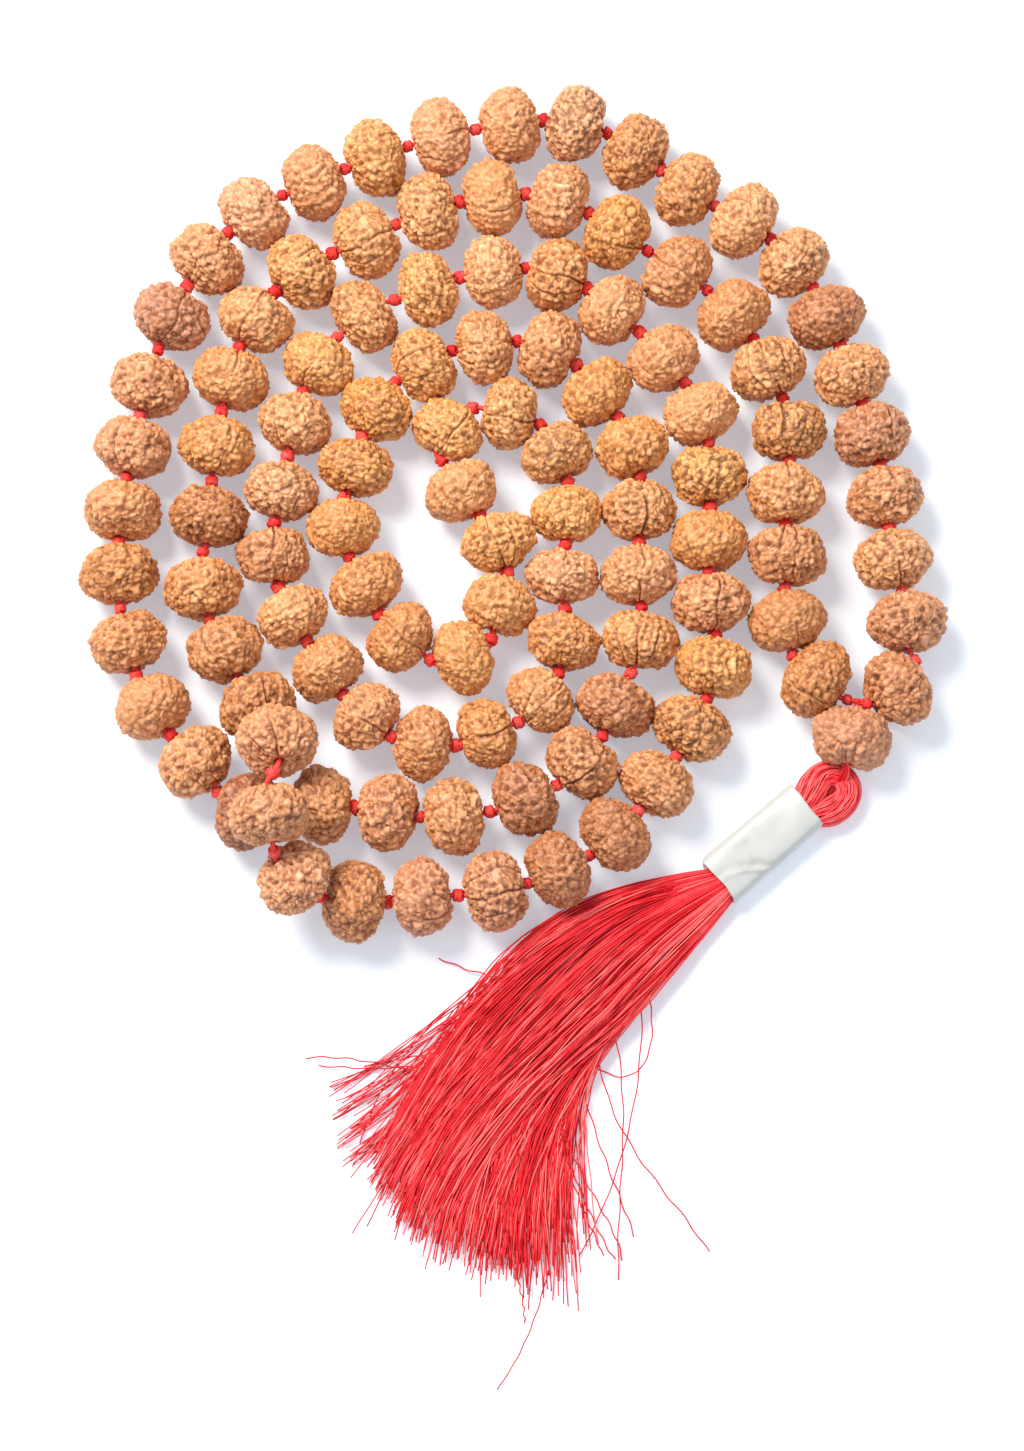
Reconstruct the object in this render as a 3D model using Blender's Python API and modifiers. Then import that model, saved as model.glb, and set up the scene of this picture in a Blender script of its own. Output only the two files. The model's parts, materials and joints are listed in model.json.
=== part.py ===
"""Mala of 108 seed beads and a guru bead on a knotted cord, coiled flat, with its tassel.

The cord leaves the guru bead as two strands, a and b. Each segment is two beads with the
cord and the knots that hold them, modelled as one solid, and each hangs on the knot before
it. The loop is opened at the knot where the two strands meet. Metres, +Z up, table at z = 0.
"""

import math
import random

import bmesh
import bpy
from mathutils import Matrix, Vector

MM = 0.001

# Driving dimensions
BEAD_COUNT = 108
BEADS_PER_SEGMENT = 2
BEAD_LENGTH = 15.4 * MM            # pole to pole, along the cord
BEAD_WIDTH = 19.7 * MM             # across the cord, on the outer turn
INNER_BEAD_SHARE = 0.93            # size of the beads at the middle of the loop
SMALL_BEADS_WITHIN = 26            # beads either side of the loop's middle that taper
SIZE_VARIATION = 0.02
BEAD_GAP = 0.5 * MM                # free space between beads of neighbouring turns
LAY_ROUNDS = 120                   # of pushing crowded beads apart
LAY_RANGE = 1.2 * BEAD_WIDTH       # beads further apart than this cannot touch
NEARLY_LEVEL = 0.1                 # rise of a direction that meets a bead's side flats
LEAST_RISE = 0.5 * MM              # a bead lower than this lies on the table
KNOT_LENGTH = 1.4 * MM             # least space between two beads on the cord
SHORTEST_KNOT = 0.4 * MM
KNOT_RADIUS = 1.5 * MM
KNOT_CLEARANCE = 0.5 * MM          # between a knot and the bead that swings on it
CORD_RADIUS = 1.2 * MM

GURU_CENTRE = (87.6, -5.3)         # millimetres in the lay's plan
GURU_HEADING = math.radians(260)   # from the gathering knot towards the tassel
GURU_LENGTH = 15.4 * MM
GURU_WIDTH = 20.0 * MM
GURU_BORE_RADIUS = 1.6 * MM
GATHERING_KNOT_RADIUS = 1.7 * MM

CORD_STRAIGHT = 1.5 * MM           # the cord's level run out of the guru bead
CORD_ABOVE_LOOP = 1.4 * MM         # free space over the tassel's loop
CORD_TURN = (2.0 * MM, 1.2 * MM)   # length and drop of its turn down into the eye
CORD_LEAN = 0.4 * MM               # off plumb in the eye, which keeps the bar untwisted

EYE_CENTRE = (82.3, -18.8)         # the tassel's loop turns about the cord here
LOOP_RADIUS = 4.6 * MM             # to the middle of the band of threads
LOOP_THICKNESS = 2.6 * MM          # half the band's width
TASSEL_HEADING = math.radians(219)
NECK_END = 8.2 * MM                # from the eye to the point the tassel bends at
BEND_GAP = 0.5 * MM                # from that point to the threads either side of it
BEND_SECTION = (1.6 * MM, 0.8 * MM)  # half width and half height of the threads there
SLEEVE_START = 8.8 * MM
SLEEVE_LENGTH = 29.0 * MM
SLEEVE_WIDTH = 13.0 * MM
SLEEVE_HEIGHT = 8.0 * MM
TAPE_THICKNESS = 0.6 * MM
TAPE_CLEARANCE = 0.4 * MM          # between the tape and the threads in it
TABLE_GAP = 0.2 * MM               # soft threads above the table

SIDES = 8                          # of a bead's cross-section
GURU_SIDES = 16
SLEEVE_SIDES = 12
SKIN_SIDES = 10                    # of the lofted thread bundles
FLAT_DOWN = math.pi / SIDES        # turns a flat of the section to the table
EDGE_SHARE = 1 / math.cos(math.pi / SIDES)  # an edge's distance for a flat's of 1

# A bead's profile: place along its axis and radius, as shares of its half sizes.
BEAD_PROFILE = (
    (-1.0, 0.30),
    (-0.72, 0.72),
    (-0.28, 1.0),
    (0.28, 1.0),
    (0.72, 0.72),
    (1.0, 0.30),
)

# The cord's lay: bead number from the guru bead, x, y and rise above the table in mm.
LAY = (
    (1, 100, 9, 0), (2, 102, 25, 0), (3, 99, 42, 0), (5, 94, 75, 0), (8, 74, 122, 0),
    (10, 46, 142, 0), (12, 17, 160, 0), (15, -36, 151, 0), (18, -80, 123, 0),
    (20, -95, 89, 0), (23, -102, 38, 0), (25, -93, 3, 0), (27, -67, -23, 0),
    (28, -49, -23, 0), (30, -15, -26, 0), (31, 3, -21, 0), (32, 18, -12, 0),
    (34, 32, 20, 0), (36, 34, 54, 0), (37, 31, 72, 0), (39, 9, 98, 0), (41, -24, 93, 0),
    (42, -36, 81, 0), (44, -44, 50, 0), (45, -37, 36, 0), (46, -27, 24, 0),
    (47, -15, 20, 0), (48, -2, 30, 0), (49, -4, 46, 0), (50, -12, 60, 0), (51, -17, 77, 0),
    (52, 0, 81, 0), (53, 12, 71, 0), (54, 15, 55, 0), (57, 7, 5, 0), (59, -22, -6, 0),
    (60, -37, 0, 0), (62, -58, 27, 0), (63, -61, 43, 0), (66, -50, 94, 0),
    (68, -22, 115, 0), (70, 12, 119, 0), (73, 49, 81, 0), (75, 51, 47, 0), (78, 46, -2, 0),
    (81, 12, -40, 0), (84, -41, -48, 1), (85, -55, -44, 9), (86, -62, -29, 19),
    (87, -61, -11, 12), (88, -65, 3, 1), (90, -79, 35, 0), (94, -67, 107, 0),
    (97, -22, 136, 0), (99, 12, 139, 0), (100, 27, 130, 0), (102, 58, 108, 0),
    (104, 72, 75, 0), (106, 69, 40, 0), (108, 79, 11, 0),
)

# The loop's neck inside its band: distance from the eye, half width and half height in mm.
NECK_SECTIONS = (
    (4.0, 3.0, 2.2),
    (6.4, 3.6, 2.0),
)

# The tassel's skirt beyond the sleeve: x, y, half width and half height in mm.
SKIRT_SECTIONS = (
    (38.0, -53.5, 12.0, 4.0),
    (13.0, -72.5, 18.0, 4.0),
    (2.5, -86.0, 19.5, 3.6),
    (-4.5, -105.0, 22.5, 3.0),
    (-7.5, -126.0, 23.5, 2.4),
    (-2.0, -140.0, 17.0, 1.8),
    (7.0, -150.5, 7.0, 1.2),
)
SIDE_LOCK_SECTIONS = (
    (-21.0, -81.5, 1.6, 1.6),
    (-27.5, -87.5, 4.2, 2.4),
    (-36.0, -95.5, 5.2, 2.0),
    (-47.0, -104.0, 3.0, 1.2),
)


class Bead:
    """Size and place of one bead on the cord."""

    def __init__(self, half_length, half_width, centre, axis=Vector((1, 0, 0))):
        self.half_length = half_length
        self.half_width = half_width
        self.centre = centre
        self.axis = axis
        self.fixed = False
        self.raised = False

    def reach(self, direction):
        """How far the bead extends from its centre in a direction."""
        along = abs(direction.dot(self.axis))
        across = math.sqrt(max(0.0, 1 - along * along))
        level = abs(direction.z) < NEARLY_LEVEL and not self.raised
        half_width = self.half_width if level else self.half_width * EDGE_SHARE
        return max(
            share_along * self.half_length * along + share_across * half_width * across
            for share_along, share_across in BEAD_PROFILE
        )

    def pole(self, side):
        return self.centre + self.axis * self.half_length * side


def lay_point(number):
    """Place of a bead on a smooth curve through the lay's points."""
    last = len(LAY) - 1
    k = max(i for i in range(last) if LAY[i][0] <= number)

    def slope(i):
        before, after = LAY[max(i - 1, 0)], LAY[min(i + 1, last)]
        return (Vector(after[1:]) - Vector(before[1:])) / (after[0] - before[0])

    start, end = Vector(LAY[k][1:]), Vector(LAY[k + 1][1:])
    span = LAY[k + 1][0] - LAY[k][0]
    s = (number - LAY[k][0]) / span
    point = start * (2 * s**3 - 3 * s**2 + 1) + end * (3 * s**2 - 2 * s**3)
    point += slope(k) * span * (s**3 - 2 * s**2 + s)
    point += slope(k + 1) * span * (s**3 - s**2)
    return point * MM


def set_axes(loop):
    """Each bead points along the line between its neighbours; level ones stay level.

    The gathering knot is the neighbour of the first bead of each strand, which turns
    halfway towards it.
    """
    knot = gathering_knot_centre(loop[0])
    places = [knot] + [bead.centre for bead in loop[1:-1]] + [knot]
    for before, bead, after in zip(places, loop[1:-1], places[2:]):
        axis = (after - before).normalized()
        if before is knot:
            axis += (bead.centre - knot).normalized()
        if after is knot:
            axis += (knot - bead.centre).normalized()
        if not bead.raised:
            axis.z = 0
        bead.axis = axis.normalized()


def push_apart(one, other, space):
    """Moves two beads apart until their surfaces are a given space apart."""
    between = other.centre - one.centre
    direction = between.normalized()
    lack = one.reach(direction) + other.reach(direction) + space - between.length
    if lack <= 0:
        return
    for bead, side in ((one, -0.5), (other, 0.5)):
        if bead.fixed:
            continue
        bead.centre += direction * lack * side
        if bead.raised:
            bead.centre.z = max(bead.centre.z, bead.half_width)
        else:
            bead.centre.z = bead.half_width


def guru_as_bead():
    """The guru bead as an obstacle that the other beads are laid around."""
    centre = Vector((GURU_CENTRE[0] * MM, GURU_CENTRE[1] * MM, GURU_WIDTH / 2))
    axis = Vector((math.cos(GURU_HEADING), math.sin(GURU_HEADING), 0))
    bead = Bead(GURU_LENGTH / 2, GURU_WIDTH / 2, centre, axis)
    bead.fixed = True
    return bead


def strand_bead(number, rng):
    """A bead of the loop at its place in the lay, smaller towards the loop's middle."""
    from_middle = abs(number - (BEAD_COUNT + 1) / 2)
    outer = min(1.0, from_middle / SMALL_BEADS_WITHIN)
    size = INNER_BEAD_SHARE + (1 - INNER_BEAD_SHARE) * outer
    half_width = BEAD_WIDTH / 2 * size * rng.uniform(1 - SIZE_VARIATION, 1 + SIZE_VARIATION)
    half_length = BEAD_LENGTH / 2 * size * rng.uniform(1 - SIZE_VARIATION, 1)
    place = lay_point(number)
    raised = place.z > LEAST_RISE
    height = half_width + (place.z if raised else 0)
    bead = Bead(half_length, half_width, Vector((place.x, place.y, height)))
    bead.raised = raised
    return bead


def gathering_knot_centre(guru):
    return guru.pole(-1) - guru.axis * (GATHERING_KNOT_RADIUS + KNOT_CLEARANCE)


def lay_beads():
    """The loop's beads in order, with the guru bead at both ends of the list."""
    rng = random.Random(BEAD_COUNT)
    beads = [strand_bead(number, rng) for number in range(1, BEAD_COUNT + 1)]
    guru = guru_as_bead()
    loop = [guru] + beads + [guru]
    for _ in range(LAY_ROUNDS):
        set_axes(loop)
        for i, one in enumerate(loop):
            for j in range(i + 1, len(loop)):
                other = loop[j]
                if other is one or (other.centre - one.centre).length > LAY_RANGE:
                    continue
                space = BEAD_GAP
                if j == i + 1 and not (one.fixed or other.fixed):
                    straight = max(0.0, one.axis.dot(other.axis))
                    space += (KNOT_LENGTH - BEAD_GAP) * straight
                push_apart(one, other, space)
    set_axes(loop)
    return beads, guru


def material(name, colour, roughness):
    made = bpy.data.materials.new(name)
    made.use_nodes = True
    shader = made.node_tree.nodes["Principled BSDF"]
    shader.inputs["Base Color"].default_value = (*colour, 1)
    shader.inputs["Roughness"].default_value = roughness
    shader.inputs["Metallic"].default_value = 0
    return made


def place_of(made):
    """Where an object's origin is in the world; no parent here is turned."""
    place = made.location.copy()
    while made.parent:
        made = made.parent
        place += made.location
    return place


def add_object(name, data, place, collection, finish=None, parent=None):
    """An object with its origin at a place in the world, hung on its parent."""
    made = bpy.data.objects.new(name, data)
    made.location = place - place_of(parent) if parent else place
    made.parent = parent
    if finish:
        data.materials.append(finish)
    collection.objects.link(made)
    return made


def tube(name, points, origin):
    """A round bar as a curve: points are (place, radius), with a flat turned down."""
    curve = bpy.data.curves.new(name, "CURVE")
    curve.dimensions = "3D"
    curve.bevel_depth = 1.0
    curve.bevel_resolution = SIDES // 2 - 2
    curve.render_resolution_u = 0
    curve.use_fill_caps = True
    curve.twist_mode = "Z_UP"
    spline = curve.splines.new("POLY")
    spline.points.add(len(points) - 1)
    for target, (place, radius) in zip(spline.points, points):
        target.co = (*(place - origin), 1)
        target.radius = radius
        target.tilt = FLAT_DOWN
    return curve


def bead_rings(bead):
    """A bead's rings; its flats, not its edges, lie on its stated width."""
    return [
        (
            bead.centre + bead.axis * bead.half_length * along,
            bead.half_width * EDGE_SHARE * across,
        )
        for along, across in BEAD_PROFILE
    ]


def knot_between(one, other):
    """The knot's centre, halfway between the facing poles of two beads of a strand."""
    return (one.pole(1) + other.pole(-1)) / 2


def strand_start(strand, guru):
    """Where a strand's cord comes free of the gathering knot."""
    knot = gathering_knot_centre(guru)
    towards_bead = (strand[0].pole(-1) - knot).normalized()
    return knot + towards_bead * (GATHERING_KNOT_RADIUS + KNOT_CLEARANCE)


def segment_points(strand, first, guru):
    """Rings of two beads with the knot between them and the knot after them."""
    one, other = strand[first], strand[first + 1]
    points = bead_rings(one)
    if not first:
        neck = one.pole(-1) - one.axis * SHORTEST_KNOT
        points = [(strand_start(strand, guru), CORD_RADIUS), (neck, CORD_RADIUS)] + points
    points.append((knot_between(one, other), KNOT_RADIUS))
    points += bead_rings(other)
    if first + BEADS_PER_SEGMENT < len(strand):
        reach = end_knot_length(other, strand[first + 2])
    else:
        reach = KNOT_LENGTH / 4
    points.append((other.pole(1) + other.axis * reach, KNOT_RADIUS))
    return points


def end_knot_length(bead, after):
    """Length of the knot after a bead that leaves clearance to the next bead's end."""
    bend_cosine = bead.axis.dot(after.axis)
    bend_sine = math.sqrt(max(0.0, 1 - bend_cosine**2))
    room = (after.pole(-1) - bead.pole(1)).dot(after.axis)
    free = room - KNOT_CLEARANCE - KNOT_RADIUS * bend_sine
    return max(free / bend_cosine, SHORTEST_KNOT)


def reversed_bead(bead):
    """The same bead met from the other end of the cord."""
    return Bead(bead.half_length, bead.half_width, bead.centre, -bead.axis)


def make_strands(beads, guru, root, collection, finish):
    """Both strands of segments, each parented to the one before it."""
    half = len(beads) // 2
    strands = {
        "a": beads[:half],
        "b": [reversed_bead(bead) for bead in reversed(beads[half:])],
    }
    for letter, strand in strands.items():
        parent = root
        for first in range(0, half, BEADS_PER_SEGMENT):
            if first:
                hinge = knot_between(strand[first - 1], strand[first])
            else:
                hinge = strand_start(strand, guru)
            name = f"strand_{letter}_{first // BEADS_PER_SEGMENT + 1:02d}"
            curve = tube(name, segment_points(strand, first, guru), hinge)
            parent = add_object(name, curve, hinge, collection, finish, parent)


def make_guru_bead(guru, root, collection, finish):
    """A bead turned about its own Z, laid along the doubled cord in its bore."""
    half_length, half_width = guru.half_length, guru.half_width
    profile = [(GURU_BORE_RADIUS, half_length)]
    profile += [(half_width * across, -half_length * along) for along, across in BEAD_PROFILE]
    profile.append((GURU_BORE_RADIUS, -half_length))
    edges = [(i, (i + 1) % len(profile)) for i in range(len(profile))]
    mesh = bpy.data.meshes.new("guru_bead")
    mesh.from_pydata([(radius, 0, height) for radius, height in profile], edges, [])
    made = add_object("guru_bead", mesh, guru.centre, collection, finish, root)
    made.rotation_mode = "QUATERNION"
    made.rotation_quaternion = Vector((0, 0, -1)).rotation_difference(guru.axis)
    screw = made.modifiers.new("Turn", "SCREW")
    screw.axis = "Z"
    screw.angle = 2 * math.pi
    screw.steps = GURU_SIDES
    screw.render_steps = GURU_SIDES
    screw.use_merge_vertices = True
    screw.merge_threshold = 0.01 * MM


def make_guru_cord(guru, collection, finish):
    """Gathering knot, the cord through the guru bead, and its end in the loop's eye."""
    knot = gathering_knot_centre(guru)
    back = -guru.axis
    over_loop = 2 * LOOP_THICKNESS + CORD_ABOVE_LOOP + CORD_RADIUS
    turn_length, turn_drop = CORD_TURN
    half_knot = back * GATHERING_KNOT_RADIUS
    points = [
        (knot + half_knot, GATHERING_KNOT_RADIUS / 2),
        (knot + half_knot / 2, GATHERING_KNOT_RADIUS),
        (knot - half_knot / 2, GATHERING_KNOT_RADIUS),
        (knot - half_knot, CORD_RADIUS),
        (guru.pole(1) + guru.axis * CORD_STRAIGHT, CORD_RADIUS),
        (tassel_point(0, over_loop) + back * turn_length, CORD_RADIUS),
        (tassel_point(0, over_loop - turn_drop), CORD_RADIUS),
        (tassel_point(0, TABLE_GAP) - back * CORD_LEAN, CORD_RADIUS),
    ]
    return add_object("guru_cord", tube("guru_cord", points, knot), knot, collection, finish)


def loft(name, sections, origin):
    """A closed skin over flat oval sections: (centre, half width, half height)."""
    shape = bmesh.new()
    rings = []
    for i, (centre, half_width, half_height) in enumerate(sections):
        before = sections[max(i - 1, 0)][0]
        after = sections[min(i + 1, len(sections) - 1)][0]
        forward = after - before
        across = Vector((-forward.y, forward.x, 0)).normalized()
        up = Vector((0, 0, 1))
        ring = []
        for k in range(SKIN_SIDES):
            angle = 2 * math.pi * (k + 0.5) / SKIN_SIDES + math.pi / 2
            place = centre + across * half_width * math.cos(angle)
            place += up * half_height * math.sin(angle) / math.cos(math.pi / SKIN_SIDES)
            ring.append(shape.verts.new(place - origin))
        rings.append(ring)
    for one, other in zip(rings, rings[1:]):
        for k in range(SKIN_SIDES):
            after = (k + 1) % SKIN_SIDES
            shape.faces.new((one[k], one[after], other[after], other[k]))
    shape.faces.new(list(reversed(rings[0])))
    shape.faces.new(rings[-1])
    bmesh.ops.recalc_face_normals(shape, faces=shape.faces)
    mesh = bpy.data.meshes.new(name)
    shape.to_mesh(mesh)
    shape.free()
    return mesh


def tassel_point(distance, height):
    """A point on the tassel's straight part, at a distance from the loop's eye."""
    return Vector(
        (
            EYE_CENTRE[0] * MM + math.cos(TASSEL_HEADING) * distance,
            EYE_CENTRE[1] * MM + math.sin(TASSEL_HEADING) * distance,
            height,
        )
    )


def make_tassel_head(root, collection, cutters, finish):
    """The folded end of the hank: a ring of threads with a neck towards the sleeve."""
    eye = tassel_point(0, 0)
    height = LOOP_THICKNESS + TABLE_GAP
    centre = eye + Vector((0, 0, height))
    bpy.ops.mesh.primitive_torus_add(
        major_radius=LOOP_RADIUS,
        minor_radius=LOOP_THICKNESS,
        major_segments=20,
        minor_segments=8,
    )
    ring = bpy.context.object
    head = add_object("tassel_head", ring.data, centre, collection, finish, root)
    bpy.data.objects.remove(ring)
    neck_sections = [
        (tassel_point(distance * MM, height), half_width * MM, half_height * MM)
        for distance, half_width, half_height in NECK_SECTIONS
    ]
    neck_sections.append((tassel_point(NECK_END - BEND_GAP, height), *BEND_SECTION))
    neck_mesh = loft("neck_shape", neck_sections, centre)
    neck = add_object("neck_shape", neck_mesh, centre, cutters, parent=head)
    neck.hide_render = True
    neck.display_type = "WIRE"
    join = head.modifiers.new("Neck", "BOOLEAN")
    join.operation = "UNION"
    join.solver = "EXACT"
    join.object = neck
    return head


def make_sleeve(parent, collection, finish):
    """A band of tape wound round the threads: an open oval tube with a wall."""
    middle = tassel_point(SLEEVE_START + SLEEVE_LENGTH / 2, SLEEVE_HEIGHT / 2)
    shape = bmesh.new()
    bmesh.ops.create_cone(
        shape, segments=SLEEVE_SIDES, radius1=1, radius2=1, depth=SLEEVE_LENGTH, cap_ends=False
    )
    half_side = math.pi / SLEEVE_SIDES
    bmesh.ops.rotate(shape, matrix=Matrix.Rotation(half_side, 3, "Z"), verts=shape.verts)
    flat = 1 / math.cos(half_side)
    bmesh.ops.scale(
        shape,
        vec=(SLEEVE_HEIGHT / 2 * flat, SLEEVE_WIDTH / 2 * flat, 1),
        verts=shape.verts,
    )
    bmesh.ops.rotate(shape, matrix=Matrix.Rotation(math.pi / 2, 3, "Y"), verts=shape.verts)
    bmesh.ops.rotate(shape, matrix=Matrix.Rotation(TASSEL_HEADING, 3, "Z"), verts=shape.verts)
    bend = place_of(parent)
    bmesh.ops.translate(shape, vec=middle - bend, verts=shape.verts)
    mesh = bpy.data.meshes.new("tape_sleeve")
    shape.to_mesh(mesh)
    shape.free()
    made = add_object("tape_sleeve", mesh, bend, collection, finish, parent)
    wall = made.modifiers.new("Wall", "SOLIDIFY")
    wall.thickness = TAPE_THICKNESS
    wall.offset = -1


def make_skirt(parent, collection, finish):
    """The threads from the bend, through the sleeve, to the spread ends."""
    height = SLEEVE_HEIGHT / 2
    room = TAPE_THICKNESS + TAPE_CLEARANCE
    inside = (SLEEVE_WIDTH / 2 - room, SLEEVE_HEIGHT / 2 - room)
    sleeve_end = SLEEVE_START + SLEEVE_LENGTH
    sections = [
        (tassel_point(NECK_END + BEND_GAP, height), *BEND_SECTION),
        (tassel_point(NECK_END + SLEEVE_HEIGHT / 2, height), *inside),
        (tassel_point(sleeve_end + room, height), *inside),
    ]
    sections += place_sections(SKIRT_SECTIONS)
    bend = place_of(parent)
    skin = loft("tassel_skirt", sections, bend)
    add_object("tassel_skirt", skin, bend, collection, finish, parent)


def place_sections(table):
    """Sections that lie on the table, from x, y, half width and half height in mm."""
    placed = []
    for x, y, half_width, half_height in table:
        centre = Vector((x * MM, y * MM, half_height * MM + TABLE_GAP))
        placed.append((centre, half_width * MM, half_height * MM))
    return placed


def make_side_lock(parent, collection, finish):
    """The lock of threads that spreads away from the skirt's left edge."""
    bend = place_of(parent)
    skin = loft("tassel_side_lock", place_sections(SIDE_LOCK_SECTIONS), bend)
    add_object("tassel_side_lock", skin, bend, collection, finish, parent)


def centre_on_origin(root, collection):
    """Moves the whole part, so that the origin is under the middle of its box."""
    bpy.context.view_layer.update()
    depsgraph = bpy.context.evaluated_depsgraph_get()
    points = []
    for piece in collection.objects:
        mesh = piece.evaluated_get(depsgraph).to_mesh()
        points += [piece.matrix_world @ vertex.co for vertex in mesh.vertices]
    for side in (0, 1):
        places = [point[side] for point in points]
        root.location[side] -= (min(places) + max(places)) / 2


def build():
    for old in list(bpy.data.objects):
        bpy.data.objects.remove(old, do_unlink=True)
    collection = bpy.data.collections.new("mala_prayer_beads")
    cutters = bpy.data.collections.new("cutters")
    bpy.context.scene.collection.children.link(collection)
    bpy.context.scene.collection.children.link(cutters)

    seed = material("seed", (0.60, 0.29, 0.12), 0.6)
    thread = material("thread", (0.72, 0.05, 0.03), 0.5)
    tape = material("tape", (0.86, 0.84, 0.82), 0.4)

    beads, guru = lay_beads()
    root = make_guru_cord(guru, collection, thread)
    make_guru_bead(guru, root, collection, seed)
    make_strands(beads, guru, root, collection, seed)
    head = make_tassel_head(root, collection, cutters, thread)
    bend_place = tassel_point(NECK_END, SLEEVE_HEIGHT / 2)
    bend = add_object("tassel_bend", None, bend_place, cutters, parent=head)
    make_sleeve(bend, collection, tape)
    make_skirt(bend, collection, thread)
    make_side_lock(bend, collection, thread)
    centre_on_origin(root, collection)


build()
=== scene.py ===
"""Looks of a coiled mala: ridged seeds, knotted red cord and a taped thread tassel.

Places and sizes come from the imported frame. Lengths are in millimetres until a mesh is
made from them, and the frame's axes are used throughout: +Z up from the table.
"""

import json
import math
import random

import bpy
import numpy as np
from mathutils import Matrix, Vector

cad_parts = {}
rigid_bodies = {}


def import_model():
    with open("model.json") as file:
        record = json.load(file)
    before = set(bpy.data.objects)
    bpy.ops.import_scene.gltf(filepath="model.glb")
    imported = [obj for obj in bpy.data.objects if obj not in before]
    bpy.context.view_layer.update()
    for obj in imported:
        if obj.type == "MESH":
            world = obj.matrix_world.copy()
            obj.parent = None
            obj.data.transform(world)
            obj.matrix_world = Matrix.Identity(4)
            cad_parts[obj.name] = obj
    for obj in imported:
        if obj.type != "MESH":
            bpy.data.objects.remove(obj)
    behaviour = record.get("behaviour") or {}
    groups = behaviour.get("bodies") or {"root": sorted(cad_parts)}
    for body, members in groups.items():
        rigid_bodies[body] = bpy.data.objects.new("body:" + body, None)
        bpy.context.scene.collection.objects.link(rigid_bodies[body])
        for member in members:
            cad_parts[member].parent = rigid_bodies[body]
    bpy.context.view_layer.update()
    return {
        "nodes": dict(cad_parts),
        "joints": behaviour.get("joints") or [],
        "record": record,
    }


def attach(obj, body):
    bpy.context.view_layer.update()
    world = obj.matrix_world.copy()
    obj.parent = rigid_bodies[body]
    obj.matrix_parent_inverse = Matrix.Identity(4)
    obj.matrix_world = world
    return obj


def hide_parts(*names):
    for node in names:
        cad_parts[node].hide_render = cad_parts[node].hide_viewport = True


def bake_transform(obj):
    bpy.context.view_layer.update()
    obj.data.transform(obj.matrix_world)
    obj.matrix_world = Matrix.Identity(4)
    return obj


MM = 0.001
UP = np.array((0.0, 0.0, 1.0))

# Seeds
SEED_SHAPES = 12                   # different seeds, each used many times
SEED_COLUMNS = 168                 # mesh columns round a seed
SEED_ROWS = 78                     # mesh rows from pole to pole
BORE_ROWS = 5
HALF_LENGTH, HALF_WIDTH = 7.7, 9.85    # of the shape that each seed is scaled from
SQUARENESS = 2.2                   # exponent of the profile; 2 is an ellipse
BORE_RADIUS = 1.15
DIMPLE_DEPTH, DIMPLE_RADIUS = 1.0, 2.4
WART_COUNT = 700
RIDGE_WAVELENGTH = 2.3
RELIEF = 1.45                      # from the creases to the tops of the warts
SEED_SWELL = 1.02                  # the warts stand proud of the solid in the frame

# The frame's solid of a seed
SOLID_SIDES = 8
BELT_SHARE = 0.28                  # its widest rings' place, as a share of its half length
KNOT_WIDTH = 3.1                   # all of a knot's corners are nearer together than this

# Cord and knots
CORD_RADIUS = 0.75
KNOT_RADIUS = 1.9
PLIES = 3

# Tassel
THREAD_RADIUS = 0.165
LOOP_THREADS = 104
SKIRT_THREADS = 1140
SKIRT_LOCKS = 30
END_TUFTS = 170                    # small bunches of threads at the skirt's end


# ---------------------------------------------------------------- frame

def node_points(node):
    """The different corner points of a node's mesh, in mm."""
    vertices = frame["nodes"][node].data.vertices
    places = np.array([vertex.co for vertex in vertices], float) / MM
    return np.unique(places.round(3), axis=0)


def joint(name):
    """Place in mm and direction of a joint's axis."""
    found = next(j for j in frame["joints"] if j["name"] == name)
    return np.array(found["pos_m"]) / MM, np.array(found["axis"])


def body_of(node):
    """The body that carries a node."""
    bodies = frame["record"]["behaviour"]["bodies"]
    return next(body for body, nodes in bodies.items() if node in nodes)


class Seed:
    """Where one seed is, and how large its solid is."""

    def __init__(self, centre, axis, half_length, half_width, node):
        self.centre = centre
        self.axis = axis
        self.half_length = half_length
        self.half_width = half_width
        self.node = node
        self.body = body_of(node)

    def pole(self, side):
        return self.centre + self.axis * self.half_length * side


def fit_seed(points, axis, node):
    """A seed's place from the two widest rings among its solid's corners."""
    count = 2 * SOLID_SIDES
    away = np.linalg.norm(points - points.mean(0), axis=1)
    belt = points[np.argsort(away)[-count:]]
    for _ in range(3):
        centre = belt.mean(0)
        found = np.linalg.svd(belt - centre)[2][2]
        axis = found if found @ axis > 0 else -found
        along = (points - centre) @ axis
        radius = np.linalg.norm(points - centre - np.outer(along, axis), axis=1)
        belt = points[np.argsort(radius)[-count:]]
    half_length = np.abs((belt - belt.mean(0)) @ axis).max() / BELT_SHARE
    half_width = radius.max() * math.cos(math.pi / SOLID_SIDES)
    return Seed(belt.mean(0), axis, half_length, half_width, node)


def strand_seeds(letter):
    """The seeds of one strand in order from the guru bead."""
    found = []
    last, _ = joint("coil_lift")
    for node in sorted(name for name in frame["nodes"] if name.startswith(f"strand_{letter}_")):
        points = node_points(node)
        between = np.linalg.norm(points[:, None] - points[None], axis=2)
        points = points[(between < KNOT_WIDTH).sum(1) < SOLID_SIDES]
        middle = points.mean(0)
        axis = np.linalg.svd(points - middle)[2][0]
        if axis @ (middle - last) < 0:
            axis = -axis
        side = (points - middle) @ axis
        for half in (points[side < 0], points[side >= 0]):
            found.append(fit_seed(half, axis, node))
        last = found[-1].centre
    return found


# ---------------------------------------------------------------- meshes

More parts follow.
